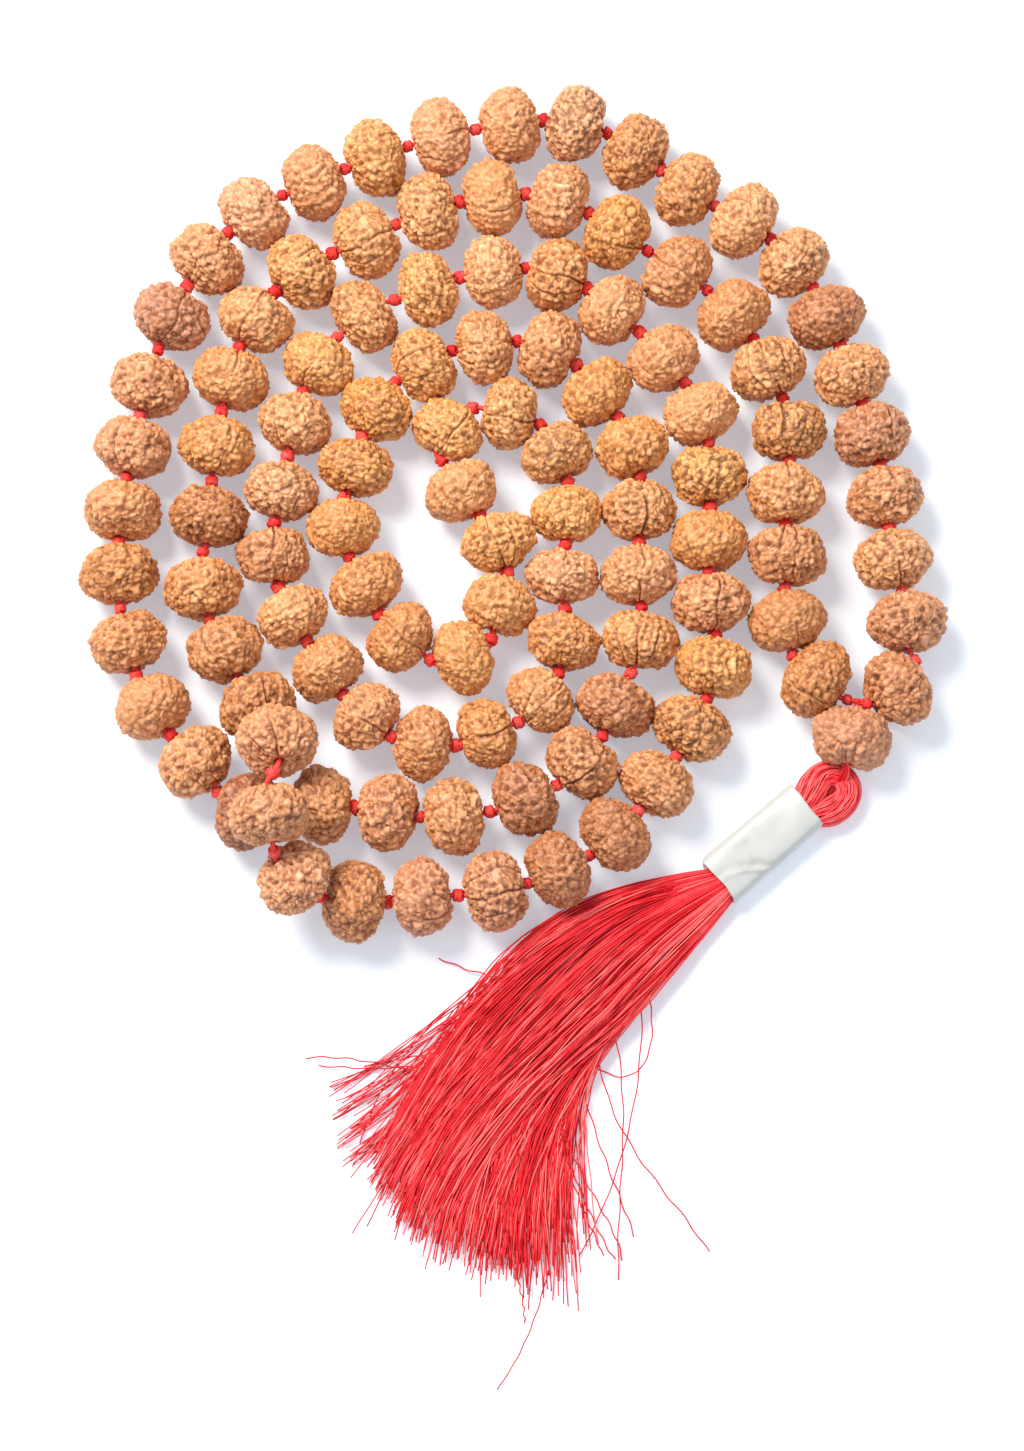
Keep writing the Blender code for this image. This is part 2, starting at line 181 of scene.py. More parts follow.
def add_mesh(name, vertices, faces, finish, smooth=True):
    """A mesh object from points in mm."""
    mesh = bpy.data.meshes.new(name)
    mesh.from_pydata((np.asarray(vertices) * MM).tolist(), [], faces)
    if smooth:
        mesh.shade_smooth()
    mesh.materials.append(finish)
    made = bpy.data.objects.new(name, mesh)
    bpy.context.scene.collection.objects.link(made)
    return made


def set_attribute(mesh, name, values):
    attribute = mesh.attributes.new(name, "FLOAT", "POINT")
    attribute.data.foreach_set("value", np.asarray(values, np.float32).ravel())


def grid_faces(rows, columns, close_rows=False):
    """Quads of a grid whose columns run round in a ring."""
    faces = []
    for row in range(rows if close_rows else rows - 1):
        after = (row + 1) % rows
        for column in range(columns):
            side = (column + 1) % columns
            faces.append((
                row * columns + column,
                row * columns + side,
                after * columns + side,
                after * columns + column,
            ))
    return faces


def tubes(paths, radius, sides, up=UP, plies=0, turns=0.0, ply_depth=0.0):
    """Closed tubes round several paths (path, point, xyz); plies twist round each."""
    paths = np.asarray(paths, float)
    count, rings, _ = paths.shape
    tangent = np.gradient(paths, axis=1)
    tangent /= np.linalg.norm(tangent, axis=2, keepdims=True) + 1e-9
    side = np.cross(tangent, np.broadcast_to(up, tangent.shape))
    side /= np.linalg.norm(side, axis=2, keepdims=True) + 1e-9
    over = np.cross(side, tangent)
    angle = np.linspace(0, 2 * math.pi, sides, endpoint=False)
    size = np.broadcast_to(np.asarray(radius, float), (count, rings))[:, :, None]
    if plies:
        twist = np.linspace(0, turns * 2 * math.pi, rings)[None, :, None]
        size = size * (1 - ply_depth + ply_depth * np.abs(np.cos(
            plies / 2 * (angle[None, None, :] + twist))))
    else:
        size = np.broadcast_to(size, (count, rings, sides))
    ring = (
        side[:, :, None, :] * np.cos(angle)[None, None, :, None]
        + over[:, :, None, :] * np.sin(angle)[None, None, :, None]
    )
    vertices = paths[:, :, None, :] + ring * size[..., None]
    one = np.array(grid_faces(rings, sides))
    shift = rings * sides
    faces = (one[None] + np.arange(count)[:, None, None] * shift).reshape(-1, 4).tolist()
    for k in range(count):
        faces.append(list(range(k * shift, k * shift + sides))[::-1])
        faces.append(list(range((k + 1) * shift - sides, (k + 1) * shift)))
    return vertices.reshape(-1, 3), faces


def joined(parts):
    """Several (vertices, faces) as one."""
    vertices, faces, start = [], [], 0
    for part_vertices, part_faces in parts:
        vertices.append(part_vertices)
        faces += [[corner + start for corner in face] for face in part_faces]
        start += len(part_vertices)
    return np.concatenate(vertices), faces


def bezier(corners, t):
    """Points of a cubic curve; corners are (..., 4, xyz) and t is (..., n)."""
    corners = np.asarray(corners, float)
    t = np.asarray(t, float)[..., None]
    start, first, second, end = (corners[..., i, None, :] for i in range(4))
    return (
        start * (1 - t) ** 3 + 3 * first * t * (1 - t) ** 2
        + 3 * second * t**2 * (1 - t) + end * t**3
    )


def smoothstep(low, high, value):
    t = np.clip((value - low) / (high - low), 0, 1)
    return t * t * (3 - 2 * t)


# ---------------------------------------------------------------- materials

def material(name):
    """A node material with its Principled shader."""
    made = bpy.data.materials.new(name)
    made.use_nodes = True
    return made, made.node_tree.nodes, made.node_tree.links


def add_node(nodes, kind, **settings):
    node = nodes.new(kind)
    for key, value in settings.items():
        setattr(node, key, value)
    return node


def ramp(nodes, stops):
    """A colour ramp from (place, colour) stops."""
    node = nodes.new("ShaderNodeValToRGB")
    elements = node.color_ramp.elements
    while len(elements) < len(stops):
        elements.new(0.5)
    for element, (place, colour) in zip(elements, stops):
        element.position = place
        element.color = (*colour, 1)
    return node


def noise_node(nodes, links, size_mm, detail=3.0, roughness=0.55):
    """Noise whose pattern has a given size in mm, in the piece's own space."""
    place = nodes.new("ShaderNodeTexCoord")
    node = add_node(nodes, "ShaderNodeTexNoise")
    node.inputs["Scale"].default_value = 1 / (size_mm * MM)
    node.inputs["Detail"].default_value = detail
    node.inputs["Roughness"].default_value = roughness
    links.new(place.outputs["Object"], node.inputs["Vector"])
    return node


def math_node(nodes, links, operation, first, second, clamp=False):
    node = add_node(nodes, "ShaderNodeMath", operation=operation, use_clamp=clamp)
    for socket, value in zip(node.inputs, (first, second)):
        if isinstance(value, (int, float)):
            socket.default_value = value
        else:
            links.new(value, socket)
    return node.outputs[0]


def mix_colour(nodes, links, blend, share, first, second):
    node = add_node(nodes, "ShaderNodeMix", data_type="RGBA", blend_type=blend)
    for socket, value in ((node.inputs[0], share), (node.inputs[6], first), (node.inputs[7], second)):
        if isinstance(value, (int, float)):
            socket.default_value = value
        elif isinstance(value, tuple):
            socket.default_value = (*value, 1)
        else:
            links.new(value, socket)
    return node.outputs[2]


# Linear colours of the cord's dye, from its dullest places to its lightest fibres.
CORD_COLOURS = (
    (0.36, (0.58, 0.010, 0.012)),
    (0.50, (0.90, 0.040, 0.032)),
    (0.66, (1.0, 0.17, 0.14)),
)
# Linear colours from a seed's creases to the tops of its warts: its own tan in the middle, painted shade
# towards the creases and painted highlight towards the tops of the warts.
SEED_SHADE_AND_HIGHLIGHT_COLOURS = (
    (0.0, (0.13, 0.038, 0.012)),
    (0.24, (0.40, 0.145, 0.048)),
    (0.50, (0.68, 0.29, 0.107)),
    (0.78, (0.83, 0.41, 0.175)),
    (1.0, (0.97, 0.56, 0.28)),
)
# What they are multiplied by, from the darkest seed to the lightest.
SEED_TONES = (
    (0.0, (0.66, 0.56, 0.58)),
    (0.5, (1.0, 1.0, 1.0)),
    (1.0, (1.12, 1.24, 1.25)),
)


def seed_material():
    """Dry tan seed, evenly slightly polished: painted shade darkens its creases and painted highlight lightens
    its warts.
    """
    made, nodes, links = material("seed")
    shader = nodes["Principled BSDF"]
    relief = add_node(nodes, "ShaderNodeAttribute", attribute_name="relief").outputs["Fac"]
    tone = add_node(nodes, "ShaderNodeAttribute", attribute_type="OBJECT", attribute_name="tone")
    haze = add_node(nodes, "ShaderNodeAttribute", attribute_type="OBJECT", attribute_name="haze")
    rosy = add_node(nodes, "ShaderNodeAttribute", attribute_type="OBJECT", attribute_name="rosy")
    stain = add_node(nodes, "ShaderNodeAttribute", attribute_type="OBJECT", attribute_name="stain")
    grain = noise_node(nodes, links, 0.8, 4, 0.6)
    patches = noise_node(nodes, links, 6.0, 2, 0.5)

    rough_relief = math_node(nodes, links, "MULTIPLY_ADD", grain.outputs["Fac"], 0.36)
    rough_relief.node.inputs[2].default_value = -0.18
    height = math_node(nodes, links, "ADD", relief, rough_relief, clamp=True)
    # The relief picks the colour: painted shade in the creases, painted highlight on the tops of the warts.
    body = ramp(nodes, SEED_SHADE_AND_HIGHLIGHT_COLOURS)
    even = math_node(nodes, links, "SUBTRACT", 0.62, height)
    even = math_node(nodes, links, "MULTIPLY", even, haze.outputs["Fac"])
    links.new(math_node(nodes, links, "ADD", height, even), body.inputs["Fac"])
    warm = ramp(nodes, SEED_TONES)
    links.new(tone.outputs["Fac"], warm.inputs["Fac"])
    colour = mix_colour(nodes, links, "MULTIPLY", 1.0, body.outputs["Color"], warm.outputs["Color"])
    hue = ramp(nodes, ((0.0, (1.0, 0.95, 0.72)), (1.0, (1.0, 1.02, 1.30))))
    links.new(rosy.outputs["Fac"], hue.inputs["Fac"])
    colour = mix_colour(nodes, links, "MULTIPLY", 1.0, colour, hue.outputs["Color"])
    blotch = ramp(nodes, ((0.35, (0.84, 0.78, 0.74)), (0.65, (1.06, 1.05, 1.04))))
    links.new(patches.outputs["Fac"], blotch.inputs["Fac"])
    colour = mix_colour(nodes, links, "MULTIPLY", 0.8, colour, blotch.outputs["Color"])

    stained = ramp(nodes, ((0.49, (0, 0, 0)), (0.57, (1, 1, 1))))
    links.new(patches.outputs["Fac"], stained.inputs["Fac"])
    low = math_node(nodes, links, "MULTIPLY_ADD", height, -5.0, clamp=True)
    low.node.inputs[2].default_value = 2.9
    dark = math_node(nodes, links, "MULTIPLY", stained.outputs["Color"], stain.outputs["Fac"])
    dark = math_node(nodes, links, "MULTIPLY", dark, low, clamp=True)
    colour = mix_colour(nodes, links, "MIX", dark, colour, (0.06, 0.038, 0.025))
    links.new(colour, shader.inputs["Base Color"])

    shader.inputs["Roughness"].default_value = 0.45
    shader.inputs["Specular IOR Level"].default_value = 0.5
    return made


def cord_material():
    """Dull dyed cord: fine fibres and slow changes of shade; its windings are in the mesh."""
    made, nodes, links = material("cord")
    shader = nodes["Principled BSDF"]
    fibre = noise_node(nodes, links, 0.45, 3, 0.6)
    uneven = noise_node(nodes, links, 7.0, 2, 0.5)
    slow = math_node(nodes, links, "MULTIPLY", uneven.outputs["Fac"], 0.5)
    level = math_node(nodes, links, "MULTIPLY_ADD", fibre.outputs["Fac"], 0.5)
    links.new(slow, level.node.inputs[2])
    dye = ramp(nodes, CORD_COLOURS)
    links.new(level, dye.inputs["Fac"])
    links.new(dye.outputs["Color"], shader.inputs["Base Color"])
    shader.inputs["Roughness"].default_value = 0.6
    shader.inputs["Specular IOR Level"].default_value = 0.3
    return made


def thread_material(name, dark, middle, light, roughness):
    """Silky dyed thread; each thread has its own shade, and in the silk the lightest, pinkish shade is a
    painted highlight.
    """
    made, nodes, links = material(name)
    shader = nodes["Principled BSDF"]
    shade = add_node(nodes, "ShaderNodeAttribute", attribute_name="shade").outputs["Fac"]
    uneven = noise_node(nodes, links, 5.0, 3, 0.6)
    spread = math_node(nodes, links, "MULTIPLY_ADD", uneven.outputs["Fac"], 0.5)
    spread.node.inputs[2].default_value = -0.25
    level = math_node(nodes, links, "ADD", shade, spread, clamp=True)
    dye = ramp(nodes, ((0.0, dark), (0.5, middle), (1.0, light)))
    links.new(level, dye.inputs["Fac"])
    links.new(dye.outputs["Color"], shader.inputs["Base Color"])
    shader.inputs["Roughness"].default_value = roughness
    shader.inputs["Specular IOR Level"].default_value = 0.3
    bump = add_node(nodes, "ShaderNodeBump")
    bump.inputs["Strength"].default_value = 0.4
    bump.inputs["Distance"].default_value = 0.05 * MM
    fibre = noise_node(nodes, links, 0.35, 2, 0.5)
    links.new(fibre.outputs["Fac"], bump.inputs["Height"])
    links.new(bump.outputs["Normal"], shader.inputs["Normal"])
    return made


def tape_material():
    """White paper tape, slightly glossy, with faint smudges."""
    made, nodes, links = material("tape")
    shader = nodes["Principled BSDF"]
    smudge = noise_node(nodes, links, 7.0, 5, 0.6)
    tint = ramp(nodes, ((0.30, (0.44, 0.44, 0.42)), (0.42, (0.52, 0.52, 0.495)), (0.7, (0.55, 0.55, 0.525))))
    links.new(smudge.outputs["Fac"], tint.inputs["Fac"])
    links.new(tint.outputs["Color"], shader.inputs["Base Color"])
    shine = ramp(nodes, ((0.3, (0.42, 0.42, 0.42)), (0.7, (0.3, 0.3, 0.3))))
    links.new(smudge.outputs["Fac"], shine.inputs["Fac"])
    links.new(shine.outputs["Color"], shader.inputs["Roughness"])
    shader.inputs["Coat Weight"].default_value = 0.15
    bump = add_node(nodes, "ShaderNodeBump")
    bump.inputs["Strength"].default_value = 0.25
    bump.inputs["Distance"].default_value = 0.2 * MM
    paper = noise_node(nodes, links, 1.6, 3, 0.6)
    links.new(paper.outputs["Fac"], bump.inputs["Height"])
    links.new(bump.outputs["Normal"], shader.inputs["Normal"])
    return made


# ---------------------------------------------------------------- seeds

def seed_profile():
    """(radius, height) rows from the upper to the lower end of the bore, in even steps."""
    latitude = np.linspace(math.pi / 2, -math.pi / 2, 2001)
    power = 2 / SQUARENESS
    radius = HALF_WIDTH * np.cos(latitude) ** power
    height = HALF_LENGTH * np.sign(latitude) * np.abs(np.sin(latitude)) ** power
    height -= np.sign(latitude) * DIMPLE_DEPTH * np.exp(-(radius / DIMPLE_RADIUS) ** 2)
    keep = radius > BORE_RADIUS
    radius, height = radius[keep], height[keep]
    steps = np.hypot(np.diff(radius), np.diff(height))
    length = np.concatenate(((0,), np.cumsum(steps)))
    even = np.linspace(0, length[-1], SEED_ROWS)
    return np.interp(even, length, radius), np.interp(even, length, height)


def waves(places, wavelength, count, rng, spread=(0.7, 1.4)):
    """Smooth noise of about -1 to 1: a sum of plane waves in random directions."""
    total = np.zeros(len(places))
    for _ in range(count):
        direction = rng.normal(size=3)
        length = wavelength * rng.uniform(*spread)
        direction *= 2 * math.pi / length / np.linalg.norm(direction)
        total += np.sin(places @ direction + rng.uniform(0, 2 * math.pi))
    return total / math.sqrt(count)


def wart_height(places, rng):
    """Crowded warts that run together into winding ridges: 0 in the creases, to 1."""
    turn = math.pi * (3 - math.sqrt(5))
    index = np.arange(WART_COUNT)
    level = 1 - 2 * (index + 0.5) / WART_COUNT
    ring = np.sqrt(1 - level**2)
    centres = np.stack((ring * np.cos(index * turn), ring * np.sin(index * turn), level), 1)
    centres *= (HALF_WIDTH, HALF_WIDTH, HALF_LENGTH)
    centres += rng.normal(scale=0.45, size=centres.shape)
    between = np.linalg.norm(centres[:, None] - centres[None], axis=2)
    np.fill_diagonal(between, 1e9)
    group = index.copy()
    for wart in rng.permutation(WART_COUNT):
        if rng.random() < 0.7:
            nearest = np.argsort(between[wart])[rng.integers(0, 2)]
            group[wart] = group[nearest]
    warped = places.copy()
    for axis in range(3):
        warped[:, axis] += 0.3 * waves(places, 2.6, 6, rng)
    distance = np.linalg.norm(warped[:, None] - centres[None], axis=2)
    nearest = np.argpartition(distance, 6, axis=1)[:, :6]
    order = np.argsort(np.take_along_axis(distance, nearest, 1), axis=1)
    nearest = np.take_along_axis(nearest, order, 1)
    sorted_distance = np.take_along_axis(distance, nearest, 1)
    other = group[nearest] != group[nearest[:, :1]]
    first_other = np.where(other.any(1), other.argmax(1), 5)
    to_edge = (sorted_distance[np.arange(len(places)), first_other] - sorted_distance[:, 0]) / 2
    dome = 1 - (1 - np.clip(to_edge / 0.55, 0, 1)) ** 2
    lift = rng.uniform(0.6, 1.0, WART_COUNT)[group[nearest[:, 0]]]
    winding = smoothstep(-1.1, 0.5, waves(places, RIDGE_WAVELENGTH, 40, rng, (0.85, 1.2)))
    return dome * lift * 0.64 + winding * 0.36


def seed_shape(number, finish):
    """One seed's mesh: winding warts, and faint lines from pole to pole."""
    rng = np.random.default_rng(number)
    radius, height = seed_profile()
    rows = SEED_ROWS + BORE_ROWS
    bore = np.linspace(height[-1], height[0], BORE_ROWS + 2)[1:-1]
    radius = np.concatenate((radius, np.full(BORE_ROWS, BORE_RADIUS)))
    height = np.concatenate((height, bore))
    angle = np.linspace(0, 2 * math.pi, SEED_COLUMNS, endpoint=False)
    angle = angle[None, :] + 0.06 * np.sin(height[:, None] / 2.3 + rng.uniform(0, 6))
    circle = np.stack((np.cos(angle), np.sin(angle)), 2) * radius[:, None, None]
    level = np.broadcast_to(height[:, None, None], (rows, SEED_COLUMNS, 1))
    flat = np.concatenate((circle, level), 2).reshape(-1, 3)

    # Each line has its own strength; most are hardly seen.
    lines = int(rng.integers(8, 12))
    line_angle = (np.arange(lines) + rng.uniform(-0.15, 0.15, lines)) * 2 * math.pi / lines
    line_strength = rng.choice((0.15, 0.45, 1.0), lines, p=(0.4, 0.35, 0.25))
    column = np.linspace(0, 2 * math.pi, SEED_COLUMNS, endpoint=False)
    apart = (column[:, None] - line_angle[None] + math.pi) % (2 * math.pi) - math.pi
    nearest = np.abs(apart).argmin(1)
    line_distance = apart[np.arange(SEED_COLUMNS), nearest][None] * radius[:, None]
    line_distance = line_distance.ravel() + 0.15 * waves(flat, 4.0, 4, rng)
    strength = np.tile(line_strength[nearest], rows)
    strength = strength * smoothstep(-0.9, 0.5, waves(flat, 14.0, 4, rng))

    warts = wart_height(flat, rng)
    groove = strength * np.exp(-(line_distance / 0.25) ** 2)
    lip = strength * np.exp(-((line_distance - 0.6) / 0.3) ** 2)
    surface = np.clip(warts * (1 - 0.6 * groove - 0.5 * lip) + 0.42 * lip - 0.25 * groove, -0.2, 1)
    lift = RELIEF * (surface - 0.62)
    lift += 0.36 * waves(flat, 10.0, 5, rng) + 0.19 * waves(flat, 3.8, 8, rng)
    lift += 0.03 * waves(flat, 0.9, 10, rng)

    outside = np.repeat(np.arange(rows) < SEED_ROWS, SEED_COLUMNS)
    edge = smoothstep(BORE_RADIUS, BORE_RADIUS + 1.3, np.repeat(radius, SEED_COLUMNS)) * outside
    lift *= edge
    normal = flat / (HALF_WIDTH**2, HALF_WIDTH**2, HALF_LENGTH**2)
    normal /= np.linalg.norm(normal, axis=1, keepdims=True)
    moved = (flat + normal * lift[:, None]) / MM

    # The colour follows the relief: painted shade darkens the creases, the grooves and, darkest, the bore and
    # its rim; painted highlight lightens the wart tops and the lips beside the lines.
    shade_and_highlight = np.clip(0.95 * surface + 0.02, 0, 1)
    shade_and_highlight = np.where(outside, 0.12 + (shade_and_highlight - 0.12) * edge, 0.05)
    faces = grid_faces(rows, SEED_COLUMNS, close_rows=True)
    made = add_mesh(f"seed_shape_{number:02d}", moved, [face[::-1] for face in faces], finish)
    set_attribute(made.data, "relief", shade_and_highlight)
    mesh = made.data
    bpy.data.objects.remove(made)
    return mesh


def place_seed(name, seed, mesh, spin, flip):
    """A seed's object, turned about its own bore and scaled to its solid."""
    made = bpy.data.objects.new(name, mesh)
    bpy.context.scene.collection.objects.link(made)
    across = seed.half_width / HALF_WIDTH * SEED_SWELL * MM
    along = seed.half_length / HALF_LENGTH * MM * 1.01
    turn = Vector(seed.axis * flip).to_track_quat("Z", "Y").to_matrix().to_4x4()
    size = Matrix.Diagonal((across, across, along, 1))
    spin = Matrix.Rotation(spin, 4, "Z")
    made.matrix_world = Matrix.Translation(Vector(seed.centre * MM)) @ turn @ size @ spin
    return made


def add_seeds(strands, guru, finish):
    """Every seed of both strands and the guru bead."""
    shapes = [seed_shape(number, finish) for number in range(SEED_SHAPES)]
    rng = random.Random(7)
    placed = [(f"bead_{letter}_{place:02d}", seed)
              for letter, seeds in strands.items() for place, seed in enumerate(seeds, 1)]
    for number, (name, seed) in enumerate(placed + [("bead_guru", guru)]):
        mesh = shapes[(number * 5 + rng.randrange(3)) % SEED_SHAPES]
        made = place_seed(name, seed, mesh, rng.uniform(0, 2 * math.pi), rng.choice((-1, 1)))
        made["tone"] = seed_tone(seed, rng)
        made["haze"] = min(0.6, max(0.0, rng.gauss(0.06, 0.2)))
        from_middle = math.hypot(seed.centre[0], seed.centre[1] - 55) / 100
        made["rosy"] = min(1.0, max(0.0, 0.1 + 0.6 * from_middle + rng.gauss(0, 0.22)))
        made["stain"] = 1.0 if name in STAINED_SEEDS else rng.uniform(0, 0.3)
        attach(made, seed.body)
        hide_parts(seed.node)


# The seeds with black stains in their creases.
STAINED_SEEDS = ("bead_a_12", "bead_b_05", "bead_b_35", "bead_b_31", "bead_a_53")


def seed_tone(seed, rng):
    """0 is dark reddish brown, 1 is light tan: seeds at the near end and outside are darker."""
    x, y = seed.centre[0] / 100, (seed.centre[1] - 35) / 100
    tone = 0.62 + 0.22 * y - 0.20 * (x * x + y * y) + rng.gauss(0, 0.17)
    return min(1.0, max(0.0, tone))


# ---------------------------------------------------------------- cord

def cord_path(seed, after, points=30):
    """From the middle of one seed to the middle of the next, straight inside each bore."""
    start, end = seed.pole(0.8), after.pole(-0.8)
    reach = np.linalg.norm(end - start) / 3
    corners = (start, start + seed.axis * reach, end - after.axis * reach, end)
    between = bezier(corners, np.linspace(0, 1, points))
    return np.concatenate(((seed.centre,), between, (after.centre,)))


def knot(centre, direction, radius, rng):
    """An overhand knot drawn tight: yarn wound round the cord, then tucked across."""
    direction = direction / np.linalg.norm(direction)
    side = np.cross(direction, UP)
    side /= np.linalg.norm(side)
    over = np.cross(side, direction)
    yarn = radius * 0.42
    parts = []
    for turns, reach, tilt in ((1.9, 0.5, 0.15), (1.1, 0.15, 0.8), (1.1, 0.15, -0.7)):
        t = np.linspace(0, 1, 36)
        angle = 2 * math.pi * turns * t + rng.uniform(0, 6)
        along = (2 * t - 1) * reach * radius
        away = np.sqrt(1 - (along / radius) ** 2) * (radius - yarn)
        away /= np.sqrt(1 + (tilt * np.cos(angle)) ** 2)
        along = along + tilt * away * np.cos(angle)
        path = (
            centre
            + direction * along[:, None]
            + side * (away * np.cos(angle))[:, None]
            + over * (away * np.sin(angle))[:, None]
        )
        parts.append(tubes([path], yarn, 10, up=direction, plies=PLIES, turns=4, ply_depth=0.3))
    return parts


def add_cord(name, path, knots, finish, rng):
    """A length of twisted cord with its knots."""
    parts = [tubes([path], CORD_RADIUS, 9, plies=PLIES, turns=7, ply_depth=0.25)]
    for centre, direction, radius in knots:
        parts += knot(centre, direction, radius, rng)
    vertices, faces = joined(parts)
    made = add_mesh(name, vertices, faces, finish)
    return made


def add_cords(strands, guru, finish):
    """The cord between every two seeds, and from the guru bead to each strand."""
    rng = np.random.default_rng(11)
    joined_bodies = {frozenset((j["parent"], j["child"])) for j in frame["joints"]}
    for letter, seeds in strands.items():
        for place, (seed, after) in enumerate(zip(seeds, seeds[1:]), 1):
            path = cord_path(seed, after)
            middle, direction = (seed.pole(1) + after.pole(-1)) / 2, after.pole(-1) - seed.pole(1)
            size = KNOT_RADIUS * rng.uniform(0.9, 1.1)
            made = add_cord(f"cord_{letter}_{place:02d}", path, ((middle, direction, size),), finish, rng)
            if seed.body == after.body:
                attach(made, seed.body)
            else:
                seed.pole(0.9) * MM
                after.pole(-0.9) * MM
                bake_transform(made)
    last, other = strands["a"][-1], strands["b"][-1]
    reversed_other = Seed(other.centre, -other.axis, other.half_length, other.half_width, other.node)
    middle, direction = (last.pole(1) + other.pole(1)) / 2, other.pole(1) - last.pole(1)
    path = cord_path(last, reversed_other)
    half = len(path) // 2
    made = add_cord("cord_middle_a", path[:half + 1], ((middle, direction, KNOT_RADIUS),), finish, rng)
    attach(made, last.body)
    made = add_cord("cord_middle_b", path[half:], (), finish, rng)
    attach(made, other.body)

    top = guru.pole(-1) - guru.axis * 1.9
    for letter, seeds in strands.items():
        first = seeds[0]
        corners = (top, top + (first.pole(-1) - top) * 0.4, first.pole(-1.1), first.pole(-0.7))
        path = np.concatenate((bezier(corners, np.linspace(0, 1, 16)), (first.centre,)))
        place = top + (first.pole(-1) - top) * 0.55
        made = add_cord(f"cord_{letter}_start", path, ((place, first.pole(-1) - top, 1.6),), finish, rng)
        first.pole(-0.9) * MM
        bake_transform(made)
    path = np.stack((top, guru.centre, guru.pole(0.98)))
    across = strands["b"][0].centre - strands["a"][0].centre
    made = add_cord("cord_guru", path, ((top, across, 1.0),), finish, rng)
    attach(made, "guru_cord")
    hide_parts("guru_cord")


# ---------------------------------------------------------------- tassel

class TasselPlan:
    """The tassel's own directions and the sleeve's sizes, read from the frame."""

    def __init__(self):
        self.eye, _ = joint("tassel_swing")
        self.bend, axis = joint("tassel_lift")
        self.heading = np.array((-axis[1], axis[0], 0.0))
        self.side = np.array((-self.heading[1], self.heading[0], 0.0))
        self.bend_along = (self.bend - self.eye) @ self.heading
        sleeve = node_points("tape_sleeve") - self.eye
        across = sleeve @ self.side
        self.sleeve_half_width = (across.max() - across.min()) / 2
        self.sleeve_height = sleeve[:, 2].max() - sleeve[:, 2].min()
        self.sleeve_level = (sleeve[:, 2].max() + sleeve[:, 2].min()) / 2 + self.eye[2]

    def at(self, along, across, level):
        """A point from distances along and across the tassel and a height."""
        along, across, level = np.broadcast_arrays(along, across, level)
        flat = self.eye + along[..., None] * self.heading + across[..., None] * self.side
        return np.concatenate((flat[..., :2], level[..., None]), -1)


def disk(count, rng):
    """Even points of a unit disk, more of them near its rim."""
    radius = rng.uniform(0, 1, count) ** 0.42
    angle = rng.uniform(0, 2 * math.pi, count)
    return radius * np.cos(angle), radius * np.sin(angle)


def add_threads(name, paths, radius, finish, rng, sides=5, shade=None):
    """Many threads as one mesh; each has its own shade."""
    vertices, faces = tubes(paths, radius, sides)
    made = add_mesh(name, vertices, faces, finish)
    if shade is None:
        shade = rng.uniform(0.15, 0.9, len(paths))
    set_attribute(made.data, "shade", np.repeat(shade, len(vertices) // len(paths)))
    return made


# The loop's middle line in mm along and across the tassel and above the table, with the
# half width of its band of threads at each place.
LOOP_LINE = (
    (10.5, -2.4, 4.0, 2.9),
    (6.6, -2.5, 4.0, 3.4),
    (2.8, -3.9, 3.9, 4.1),
    (-1.8, -5.1, 3.8, 3.5),
    (-5.0, -2.9, 3.7, 3.3),
    (-5.5, -0.2, 3.7, 3.2),
    (-4.4, 2.8, 3.8, 3.3),
    (-1.0, 4.4, 3.8, 3.5),
    (3.4, 3.8, 3.8, 3.9),
    (6.8, 2.3, 3.9, 2.7),
    (10.5, 1.4, 4.0, 2.0),
)
LOOP_HALF_HEIGHT = 3.2
LOOP_EYE = (-1.5, -0.6)            # along and across, where the cord goes down


def smooth_line(stations, count):
    """Even rows through a line's stations, with its corners rounded off."""
    stations = np.array(stations, float)
    steps = np.linalg.norm(np.diff(stations[:, :3], axis=0), axis=1)
    length = np.concatenate(((0,), np.cumsum(steps)))
    even = np.linspace(0, length[-1], count)
    rows = np.stack([np.interp(even, length, column) for column in stations.T], 1)
    for _ in range(count // 5):
        rows[1:-1] = (rows[:-2] + 2 * rows[1:-1] + rows[2:]) / 4
    return rows


